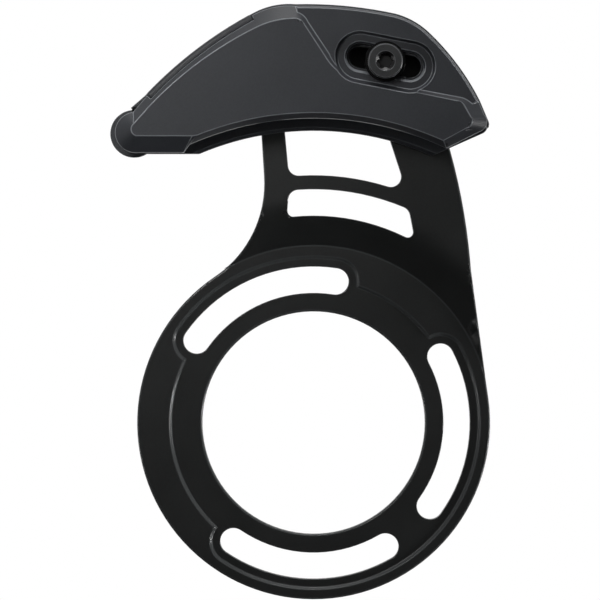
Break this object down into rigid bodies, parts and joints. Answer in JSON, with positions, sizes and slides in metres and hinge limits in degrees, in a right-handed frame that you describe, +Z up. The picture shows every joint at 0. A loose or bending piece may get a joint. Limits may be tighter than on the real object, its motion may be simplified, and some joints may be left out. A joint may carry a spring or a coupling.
{
  "type": "bicycle chain guide",
  "caption": "Plate with a large round bore and curved bolt slots, and a joggled arm that carries a two-cheek chain guide adjusted on a slotted clamp bolt.",
  "frame": {"origin": "crank axis, at the ring's rear mounting face", "axes": "+Z up the arm to the guide, +Y along the bore towards the motor, -Y outboard"},
  "size_m": [0.0833, 0.0217, 0.1301],
  "materials": {
    "anodised_plate": "satin black anodised",
    "inner_resin": "fine moulded grain",
    "outer_resin": "fine moulded grain, dark grey",
    "washer_steel": "black coated",
    "bolt_steel": "black oxide"
  },
  "bodies": {
    "plate": {"back_plate": "anodised_plate", "bolt_washer": "washer_steel", "clamp_bolt": "bolt_steel"},
    "guide": {"inner_cheek": "inner_resin", "outer_cheek": "outer_resin"}
  },
  "joints": [
    {"name": "guide_slide", "type": "slide", "parent": "plate", "child": "guide", "axis": [0.9813, 0, -0.1925], "range_m": [-0.0052, 0.0052]}
  ]
}
